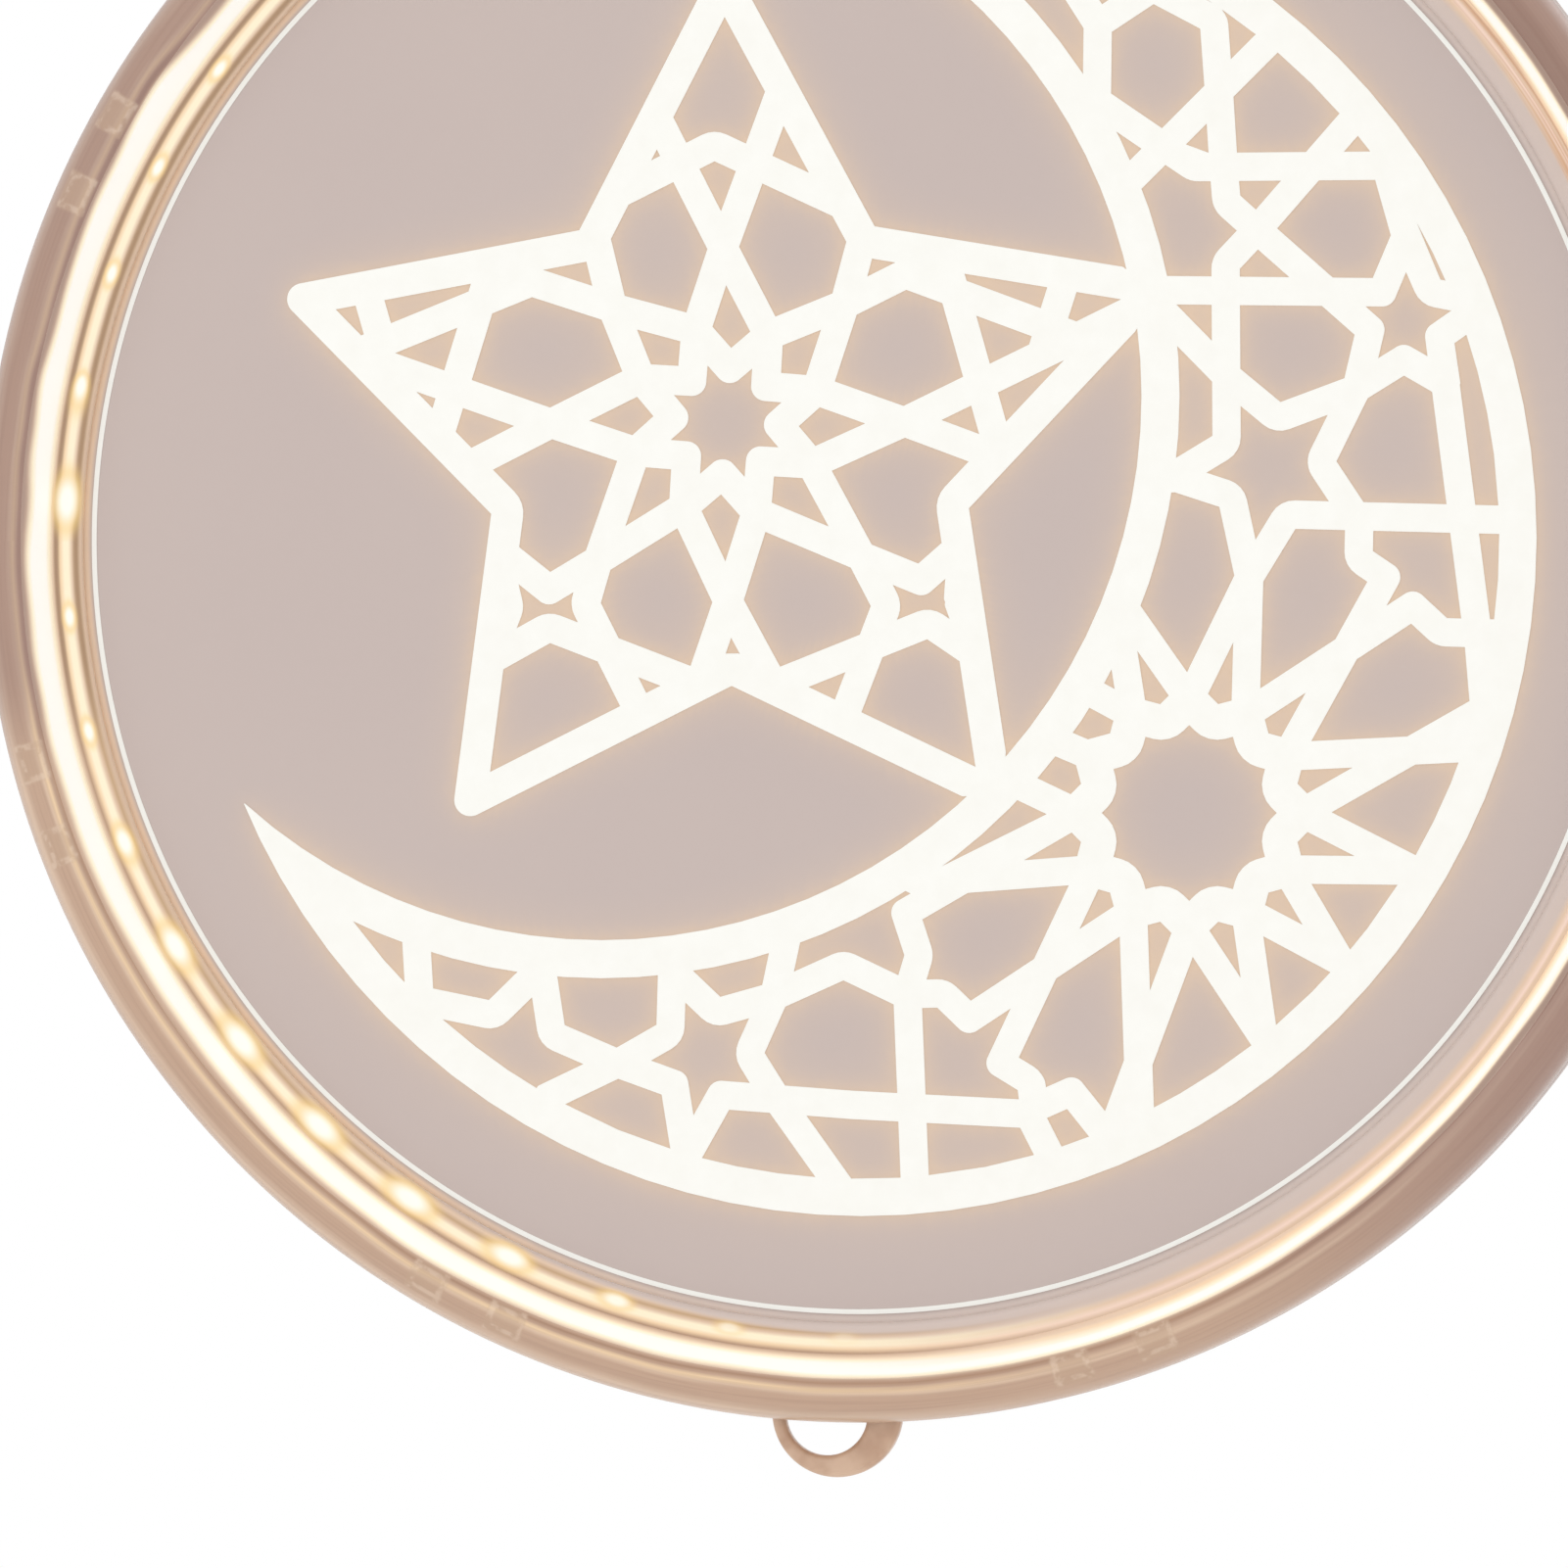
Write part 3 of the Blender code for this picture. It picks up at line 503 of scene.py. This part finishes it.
# Colours of the ring: white, cream, gold, rose and amber are painted LED light on the plastic; brown, olive, umber,
# mauve and deep brown are painted shade in the grooves and on the darker side, deep brown also for streaks along the
# rim; tan and pale tan are the tinted plastic; clear is the plate seen through the lip.
clear = (202, 184, 177)
tan = (200, 167, 143)
pale_tan = (222, 192, 166)
gold = (242, 210, 170)
cream = (253, 240, 210)
white = (255, 255, 251)
brown = (176, 139, 112)
olive = (188, 152, 114)
deep_brown = (140, 106, 92)
rose = (241, 213, 200)
mauve = (158, 126, 116)
umber = (146, 110, 78)
amber = (206, 160, 126)


def near_line(parts, links, radius, line, half_width):
    """1 on a line round the ring, falling to 0 at its half width."""
    return fade(parts, links, apart(parts, links, radius, line), half_width, half_width * 0.2)


def streaks(parts, links, radius, angle):
    """Fine lines that run along the ring, as moulded plastic shows under a low light."""
    lines = parts.new("ShaderNodeCombineXYZ")
    links.new(times(parts, links, radius, 3.2), lines.inputs["X"])
    links.new(times(parts, links, angle, 0.06), lines.inputs["Y"])
    noise = parts.new("ShaderNodeTexNoise")
    noise.inputs["Scale"].default_value = 1.0
    noise.inputs["Detail"].default_value = 2.0
    links.new(lines.outputs["Vector"], noise.inputs["Vector"])
    return fade(parts, links, noise.outputs["Fac"], 0.4, 0.7)


def left_bands(parts, links, radius, lean, upper_left):
    """Painted light and shade of the left side: warm, bright bands of LED light, with painted shade lines between
    them towards the upper left.
    """
    outward = times(parts, links, fade(parts, links, lean, -0.85, -0.35), 0.5)
    # The white, cream and gold bands are painted LED light; the brown and olive ones are painted shade.
    bands = banded(parts, links, reckon(parts, links, "SUBTRACT", radius, outward), [
        (79.2, tan),
        (79.9, pale_tan),
        (80.4, olive),
        (80.8, pale_tan),
        (81.15, cream),
        (81.6, cream),
        (82.0, gold),
        (82.45, brown),
        (82.8, pale_tan),
        (83.1, cream),
        (83.4, white),
        (84.3, white),
        (84.6, cream),
        (85.0, tan),
        (85.35, brown),
        (85.7, tan),
        (86.1, gold),
        (86.5, pale_tan),
        (86.9, tan),
        (88.1, tan),
        (88.9, pale_tan),
        (90.0, tan),
    ])
    widening = fade(parts, links, lean, -0.9, 0.0, smooth=False)
    clear_edge = reckon(parts, links, "ADD", 79.2, times(parts, links, widening, 1.7))
    inside_edge = fade(parts, links, reckon(parts, links, "SUBTRACT", radius, clear_edge), 0.3, -0.3)
    bands = blend(parts, links, inside_edge, bands, clear)
    # Painted shade: thin dark lines at the upper left.
    thin_lines = reckon(parts, links, "MAXIMUM", near_line(parts, links, radius, 82.4, 0.4),
                        near_line(parts, links, radius, 80.4, 0.45))
    bands = blend(parts, links, times(parts, links, thin_lines, upper_left, 0.7), bands, umber)
    # Painted shade in the groove outside the white band.
    dark_line = near_line(parts, links, radius, 85.35, 0.5)
    bands = blend(parts, links, times(parts, links, dark_line, 0.7, upper_left), bands, deep_brown)
    # Painted shade: the upper left turns darker outside the white band.
    dimmed = times(parts, links, upper_left, fade(parts, links, radius, 84.6, 85.4), 0.6)
    return blend(parts, links, dimmed, bands, mauve)


def right_bands(parts, links, radius, angle, lean):
    """Painted light and shade of the right side: paler bands, painted shade outside the white band of LED light, and
    amber streaks of painted LED light at the upper right.
    """
    upper_right = times(parts, links, fade(parts, links, angle, 5.0, 20.0), fade(parts, links, lean, 0.6, 0.8))
    aside = fade(parts, links, lean, 0.35, 0.85)
    inward = times(parts, links, aside, fade(parts, links, radius, 82.3, 83.3), 0.7)
    moved = reckon(parts, links, "ADD", radius, inward)
    # The white, cream, gold and rose bands are painted LED light; the brown one is painted shade.
    bands = banded(parts, links, moved, [
        (79.8, clear),
        (81.3, clear),
        (81.9, pale_tan),
        (82.4, rose),
        (82.9, pale_tan),
        (83.4, pale_tan),
        (83.8, gold),
        (84.2, cream),
        (84.5, white),
        (84.9, white),
        (85.2, cream),
        (85.5, tan),
        (85.8, brown),
        (86.2, tan),
        (87.0, pale_tan),
        (87.4, tan),
        (90.0, tan),
    ])
    # Painted shade: the right side turns darker outside the white band.
    shaded = times(parts, links, aside, fade(parts, links, radius, 84.6, 85.6), 0.75)
    bands = blend(parts, links, shaded, bands, mauve)
    # Painted LED light: amber streaks along the LED line at the upper right.
    painted_led_streaks = times(parts, links, streaks(parts, links, radius, angle), fade(parts, links, radius, 81.2, 81.7),
                    fade(parts, links, radius, 83.7, 83.2), upper_right)
    bands = blend(parts, links, painted_led_streaks, bands, amber)
    # Painted shade in the groove outside the white band.
    dark_line = near_line(parts, links, moved, 85.75, 0.6)
    bands = blend(parts, links, times(parts, links, dark_line, aside), bands, deep_brown)
    # Painted shade: deep brown over the outer bands at the upper right.
    shade = times(parts, links, fade(parts, links, radius, 85.0, 85.5), fade(parts, links, radius, 88.2, 86.4),
                  upper_right, 0.6)
    return blend(parts, links, shade, bands, deep_brown)


def ring_bands(parts, links):
    """Painted light and shade bands that the LEDs and the hollow section draw round the ring, with the radius, angle
    and lean they are at.
    """
    true_radius, angle, lean = round_the_ring(parts, links)
    upper_left = reckon(parts, links, "MAXIMUM", fade(parts, links, angle, 110.0, 140.0),
                        fade(parts, links, angle, -163.0, -172.0))
    ripple = reckon(parts, links, "SUBTRACT", grain(parts, links, 60.0, 1.0), 0.5)
    by_side = reckon(parts, links, "ADD", times(parts, links, upper_left, 1.5), 0.7)
    by_radius = reckon(parts, links, "ADD", fade(parts, links, true_radius, 83.8, 84.6), 0.1)
    shift = times(parts, links, ripple, times(parts, links, by_side, by_radius))
    radius = reckon(parts, links, "ADD", true_radius, shift)
    left = left_bands(parts, links, radius, lean, upper_left)
    right = right_bands(parts, links, radius, angle, lean)
    # Painted light by side: warm, bright bands on the left give way to paler ones on the right.
    return blend(parts, links, fade(parts, links, lean, -0.1, 0.4), left, right), true_radius, angle, lean


def quarter_curve(radius, depth, width, height, steps):
    """Quarter ellipse from the outer side up to the crown, as (radius, depth) points."""
    points = []
    for step in range(steps + 1):
        angle = math.radians(90 * step / steps)
        points.append((radius + width * math.cos(angle), depth + height * math.sin(angle)))
    return points


def rim_section(sign):
    """Closed section of the rounded rim, from the parting line over the crown and back inside."""
    deep = abs(front_depth)
    crown = ring_radius - rim_curve
    outside = [(ring_radius, parting)] + quarter_curve(crown, rim_side, rim_curve, deep - rim_side, 10)
    flat_edge = crown - rim_flat
    inside = [(flat_edge, deep - 1.25 * skin)]
    roof = quarter_curve(crown, rim_side, rim_curve - skin, deep - rim_side - skin, 8)
    section = outside + [(flat_edge, deep)] + inside + roof[::-1] + [(ring_radius - skin, parting)]
    return [(radius, sign * depth) for radius, depth in section]


rim_finish, parts, links, shader = new_finish("smoky_clear_plastic")
shader.inputs["Roughness"].default_value = 0.25
shader.inputs["IOR"].default_value = 1.5
shader.inputs["Alpha"].default_value = 0.90
# The rim's colour carries the painted light and shade bands, with streaks along the ring and the snap tongues seen
# through it.
bands, radius, angle, lean = ring_bands(parts, links)
from_pair = from_nearest(parts, links, angle, tongue_first, tongue_pitch)
from_tongue = apart(parts, links, from_pair, tongue_spacing / 2)
on_tongue = times(parts, links, fade(parts, links, from_tongue, 1.5, 1.2), fade(parts, links, radius, 85.5, 85.8),
                  fade(parts, links, radius, 88.9, 88.6))
end_line = fade(parts, links, apart(parts, links, from_tongue, 1.1), 0.35, 0.1)
inner_line = fade(parts, links, apart(parts, links, radius, 86.1), 0.4, 0.1)
outer_line = fade(parts, links, apart(parts, links, radius, 88.2), 0.35, 0.1)
outlined = reckon(parts, links, "MAXIMUM", end_line, reckon(parts, links, "MAXIMUM", inner_line, outer_line))
broken = times(parts, links, outlined, fade(parts, links, grain(parts, links, 800.0, 3.0), 0.38, 0.58))
tongue_tone = blend(parts, links, broken, (198, 167, 141), (230, 205, 181))
streaky = times(parts, links, streaks(parts, links, radius, angle), 0.15)
toned = blend(parts, links, streaky, bands, deep_brown)
marked = times(parts, links, on_tongue, 0.5)
links.new(blend(parts, links, marked, toned, tongue_tone), shader.inputs["Base Color"])

front_rim = add_piece("front_rim", turn_about_ring(rim_section(-1), ring_sectors), rim_finish)


def wall_section(sign):
    """Closed section of the sloped inner wall between the crown's flat and the lip."""
    deep = abs(front_depth)
    flat_edge = ring_radius - rim_curve - rim_flat
    gap = 0.00001
    overlap = 0.0002
    section = [
        (flat_edge + overlap, deep - gap),
        (flat_edge, deep - gap),
        (flat_edge - rim_break, deep - 1.6 * rim_break),
        (seat_radius, lip_front + gap),
        (seat_radius + seat_wall, lip_front + gap),
        (flat_edge + overlap, deep - skin),
    ]
    return [(radius, sign * depth) for radius, depth in section]


wall_finish, parts, links, shader = new_finish("flooded_inner_wall")
shader.inputs["Roughness"].default_value = 0.3
# The wall's glow and its bright bands are painted LED light; its dark lines are painted shade.
shader.inputs["Emission Color"].default_value = paint(255, 248, 232)
shader.inputs["Emission Strength"].default_value = 0.12
bands, radius, angle, lean = ring_bands(parts, links)
links.new(bands, shader.inputs["Base Color"])
front_wall = add_piece("front_inner_wall", turn_about_ring(wall_section(-1), ring_sectors), wall_finish)


def lip_section(sign):
    """Closed section of the lip over the plate's edge, with the seat wall that closes the LED channel."""
    edge = (lip_front - lip_depth) / 2
    section = [(seat_radius + seat_wall, lip_front)]
    section += quarter_curve(lip_radius + edge, lip_front - edge, -edge, edge, 6)[::-1]
    section += [
        (lip_radius, lip_depth),
        (seat_radius, lip_depth),
        (seat_radius, parting),
        (seat_radius + seat_wall, parting),
    ]
    return [(radius, sign * depth) for radius, depth in section]


# Where the painted LED glints lie, and where they are largest.
glint_radius = 81.4
brightest_angle = -134.0
flare_angle = 177.1
lip_finish, parts, links, shader = new_finish("clear_lip")
shader.inputs["Roughness"].default_value = 0.2
shader.inputs["IOR"].default_value = 1.49
shader.inputs["Alpha"].default_value = 0.92
# Faint painted glow of LED light in the lip.
shader.inputs["Emission Color"].default_value = paint(255, 246, 220)
shader.inputs["Emission Strength"].default_value = 0.05
bands, radius, angle, lean = ring_bands(parts, links)
# Painted LED glints: a warm halo with a white core at each LED, larger near the brightest angle and the flare, on the
# left side only.
across = reckon(parts, links, "DIVIDE", reckon(parts, links, "SUBTRACT", radius, glint_radius), 0.95)
along = reckon(parts, links, "DIVIDE", from_nearest(parts, links, angle, led_first, led_pitch), 1.5)
from_brightest = apart(parts, links, angle, brightest_angle)
from_flare = apart(parts, links, angle, flare_angle)
strength = reckon(parts, links, "MAXIMUM", fade(parts, links, from_brightest, 34.0, 10.0),
                  fade(parts, links, from_flare, 10.0, 4.0))
size = reckon(parts, links, "ADD", times(parts, links, strength, 0.7), 0.65)
spread = reckon(parts, links, "DIVIDE", length_of(parts, links, across, along), size)
seen_lit = fade(parts, links, lean, 0.15, -0.45)
halo = times(parts, links, fade(parts, links, spread, 1.7, 0.5), seen_lit)
core = times(parts, links, fade(parts, links, spread, 1.15, 0.3), seen_lit)
warmed = blend(parts, links, halo, bands, (246, 208, 128))
links.new(blend(parts, links, core, warmed, (255, 255, 246)), shader.inputs["Base Color"])
front_lip = add_piece("front_lip", turn_about_ring(lip_section(-1), ring_sectors), lip_finish)
for piece in (front_rim, front_wall, front_lip):
    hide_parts("front_ring_shell")


# Rear ring shell.
# The same moulding mirrored, with the snap tongues that hook into the front shell and the flat eyelets, one
# above and one below, moulded on its side.

# The rear rings wear the front's finishes, with the same painted light and shade bands and painted LED glints.
rear_rim = add_piece("rear_rim", turn_about_ring(rim_section(1), ring_sectors), rim_finish)
rear_wall = add_piece("rear_inner_wall", turn_about_ring(wall_section(1), ring_sectors), wall_finish)
rear_lip = add_piece("rear_lip", turn_about_ring(lip_section(1), ring_sectors), lip_finish)

tongue_sweep = 2.6
tongue_radius = ring_radius - skin - 0.00075
tongue_section = [
    (tongue_radius - 0.0011, 0.0022),
    (tongue_radius, 0.0022),
    (tongue_radius, -0.0027),
    (tongue_radius + 0.0003, -0.0028),
    (tongue_radius + 0.0003, -0.0033),
    (tongue_radius - 0.0006, -0.0043),
    (tongue_radius - 0.0011, -0.0043),
]
tongue_finish, parts, links, shader = new_finish("tongue_plastic")
shader.inputs["Roughness"].default_value = 0.3
tongue_tone = blend(parts, links, grain(parts, links, 300.0), (96, 62, 48), (130, 94, 76))
links.new(tongue_tone, shader.inputs["Base Color"])
tongues = []
for pair in range(tongue_pairs):
    for side, word in ((-0.5, "a"), (0.5, "b")):
        start = tongue_first + tongue_pitch * pair + side * tongue_spacing - tongue_sweep / 2
        bm = turn_about_ring(tongue_section, 2, start, tongue_sweep)
        tongues.append(add_piece(f"snap_tongue_{pair + 1}{word}", bm, tongue_finish))


loop_finish, parts, links, shader = new_finish("loop_plastic")
shader.inputs["Roughness"].default_value = 0.28
shader.inputs["IOR"].default_value = 1.5
shader.inputs["Alpha"].default_value = 0.93
flow = fade(parts, links, grain(parts, links, 240.0, 3.0), 0.35, 0.65)
loop_tone = blend(parts, links, flow, (196, 160, 134), (216, 184, 158))
links.new(loop_tone, shader.inputs["Base Color"])


def eyelet(name, loop_angle, hole_angle):
    """Flat loop with rounded edges: a disc cut by its hole and by the ring, then given its thickness."""
    loop_radius = 0.0067
    hole_radius = 0.0042
    inset = 0.0007
    loop_shift = 0.0003
    low, high = 0.0003, 0.0027
    edge_rounding = 0.0006

    def on_ring(radius, degrees):
        angle = math.radians(degrees)
        return Vector((radius * math.cos(angle), 0.0, radius * math.sin(angle) + ring_axis.z))

    loop_centre = on_ring(ring_radius - inset - loop_shift, loop_angle)
    hole_centre = on_ring(ring_radius - inset, hole_angle)
    steps = 72
    outer = []
    inner = []
    first = loop_angle - 90
    for step in range(steps + 1):
        angle = math.radians(first + 180 * step / steps)
        direction = Vector((math.cos(angle), 0.0, math.sin(angle)))
        outer.append(loop_centre + loop_radius * direction)
        inner.append(hole_centre + hole_radius * direction)
    bm = bmesh.new()
    outer_row = [bm.verts.new((point.x, low, point.z)) for point in outer]
    inner_row = [bm.verts.new((point.x, low, point.z)) for point in inner]
    for row in (outer_row, inner_row):
        for pair in zip(row, row[1:]):
            bm.edges.new(pair)
    bmesh.ops.bridge_loops(bm, edges=bm.edges[:])
    raised = bmesh.ops.extrude_face_region(bm, geom=bm.faces[:])
    lifted = [item for item in raised["geom"] if isinstance(item, bmesh.types.BMVert)]
    bmesh.ops.translate(bm, vec=(0, high - low, 0), verts=lifted)
    bmesh.ops.recalc_face_normals(bm, faces=bm.faces[:])
    rounded = [edge for edge in bm.edges if len(edge.link_faces) == 2 and edge.calc_face_angle() > 1.0
               and abs(edge.verts[0].co.y - edge.verts[1].co.y) < 1e-6]
    bmesh.ops.bevel(bm, geom=rounded, offset=edge_rounding, segments=4, profile=0.5, affect="EDGES", material=-1)
    return add_piece(name, bm, loop_finish, 50)


top_eyelet = eyelet("top_eyelet", 90.0, 90.0)
bottom_eyelet = eyelet("bottom_eyelet", 268.5, 267.8)
for piece in [rear_rim, rear_wall, rear_lip, top_eyelet, bottom_eyelet] + tongues:
    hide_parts("rear_ring_shell")


# LEDs.
# Small warm white packages soldered to the strip, each with its lit face turned to the plate's edge.

led_finish, parts, links, shader = new_finish("warm_led")
shader.inputs["Roughness"].default_value = 0.35
shader.inputs["Emission Color"].default_value = paint(255, 240, 170)
shader.inputs["Emission Strength"].default_value = 1.2
led_tone = blend(parts, links, grain(parts, links, 900.0), (255, 236, 150), (255, 248, 205))
links.new(led_tone, shader.inputs["Base Color"])


def refinish(node, finish):
    """Give a solid that shows as it was packed its own material."""
    node.data.materials.clear()
    node.data.materials.append(finish)


for name, node in nodes.items():
    if name.startswith("led_") and name != "led_strip":
        refinish(node, led_finish)


# LED strip and its resistor.
# A flexible circuit with a white solder mask stands round the channel; one black chip resistor limits the
# current beside the feed.

strip_finish, parts, links, shader = new_finish("lit_circuit_strip")
shader.inputs["Roughness"].default_value = 0.4
# The strip's glow and its warm cream tone are painted LED light falling on the white mask.
shader.inputs["Emission Color"].default_value = paint(255, 236, 200)
shader.inputs["Emission Strength"].default_value = 0.5
strip_tone = blend(parts, links, grain(parts, links, 120.0), (236, 204, 160), (250, 232, 200))
links.new(strip_tone, shader.inputs["Base Color"])
refinish(nodes["led_strip"], strip_finish)

chip_finish, parts, links, shader = new_finish("resistor_coat")
shader.inputs["Roughness"].default_value = 0.5
chip_tone = blend(parts, links, grain(parts, links, 2500.0), (28, 28, 32), (50, 48, 52))
links.new(chip_tone, shader.inputs["Base Color"])
refinish(nodes["strip_resistor"], chip_finish)


# Lead grommet.
# A soft translucent rubber inlet pushed into the hole beside the top eyelet.

rubber_finish, parts, links, shader = new_finish("soft_rubber")
shader.inputs["Roughness"].default_value = 0.65
rubber_tone = blend(parts, links, grain(parts, links, 700.0, 4.0), (206, 192, 180), (224, 214, 204))
links.new(rubber_tone, shader.inputs["Base Color"])
refinish(nodes["lead_grommet"], rubber_finish)


# Floor, light and camera.
# A pale floor lies below the hanging light. Two large soft lamps and an even white surround light it, and the
# camera looks from the front right at the height of the crescent's belly.

floor_drop = 0.11
floor_half = 1.0
floor_height = cad_box[0][2] - floor_drop
bm = bmesh.new()
bmesh.ops.create_grid(bm, x_segments=1, y_segments=1, size=floor_half,
                      matrix=Matrix.Translation((0.0, 0.0, floor_height)))
floor_mesh = bpy.data.meshes.new("floor")
bm.to_mesh(floor_mesh)
bm.free()
floor = bpy.data.objects.new("floor", floor_mesh)
bpy.context.collection.objects.link(floor)
floor_finish, parts, links, shader = new_finish("pale_floor")
shader.inputs["Base Color"].default_value = (0.93, 0.93, 0.93, 1.0)
shader.inputs["Roughness"].default_value = 0.8
floor_mesh.materials.append(floor_finish)

light_strength = 1.0
seen_strength = 1.0
surround = bpy.data.worlds.new("surround")
bpy.context.scene.world = surround
surround.use_nodes = True
parts, links = surround.node_tree.nodes, surround.node_tree.links
backdrop = parts["Background"]
backdrop.inputs["Color"].default_value = (1.0, 1.0, 1.0, 1.0)
rays = parts.new("ShaderNodeLightPath")
seen = reckon(parts, links, "MAXIMUM", rays.outputs["Is Camera Ray"], rays.outputs["Is Glossy Ray"])
seen = reckon(parts, links, "MAXIMUM", seen, rays.outputs["Is Transmission Ray"])
level = parts.new("ShaderNodeMapRange")
level.inputs["To Min"].default_value = light_strength
level.inputs["To Max"].default_value = seen_strength
links.new(seen, level.inputs["Value"])
links.new(level.outputs["Result"], backdrop.inputs["Strength"])


def soft_lamp(name, place, size, power):
    """Square area lamp turned to the ring's centre."""
    light = bpy.data.lights.new(name, "AREA")
    light.size = size
    light.energy = power
    lamp = bpy.data.objects.new(name, light)
    lamp.location = place
    lamp.rotation_euler = (ring_axis - Vector(place)).to_track_quat("-Z", "Y").to_euler()
    bpy.context.collection.objects.link(lamp)


soft_lamp("lamp_front_left", (-0.5, -1.3, 0.4), 1.4, 2.0)
soft_lamp("lamp_back_right", (0.8, 0.9, 0.5), 0.9, 2.0)

photo_width = 1601
metres_per_pixel = 0.0001
ring_centre_pixel = (877.0, 552.0)
camera_distance = 2.5
camera_yaw = math.radians(6.8)
right = Vector((math.cos(camera_yaw), math.sin(camera_yaw), 0.0))
away = Vector((-math.sin(camera_yaw), math.cos(camera_yaw), 0.0))
aside = (ring_centre_pixel[0] - photo_width / 2) * metres_per_pixel
above = (photo_width / 2 - ring_centre_pixel[1]) * metres_per_pixel
target = ring_axis - aside * right - above * Vector((0, 0, 1))
lens = bpy.data.cameras.new("camera")
lens.sensor_width = 36.0
lens.lens = lens.sensor_width * camera_distance / (photo_width * metres_per_pixel)
lens.clip_start = 0.01
camera = bpy.data.objects.new("camera", lens)
camera.location = target - camera_distance * away
camera.rotation_euler = (math.radians(90), 0.0, camera_yaw)
bpy.context.collection.objects.link(camera)
bpy.context.scene.camera = camera
bpy.context.scene.view_settings.view_transform = "Standard"
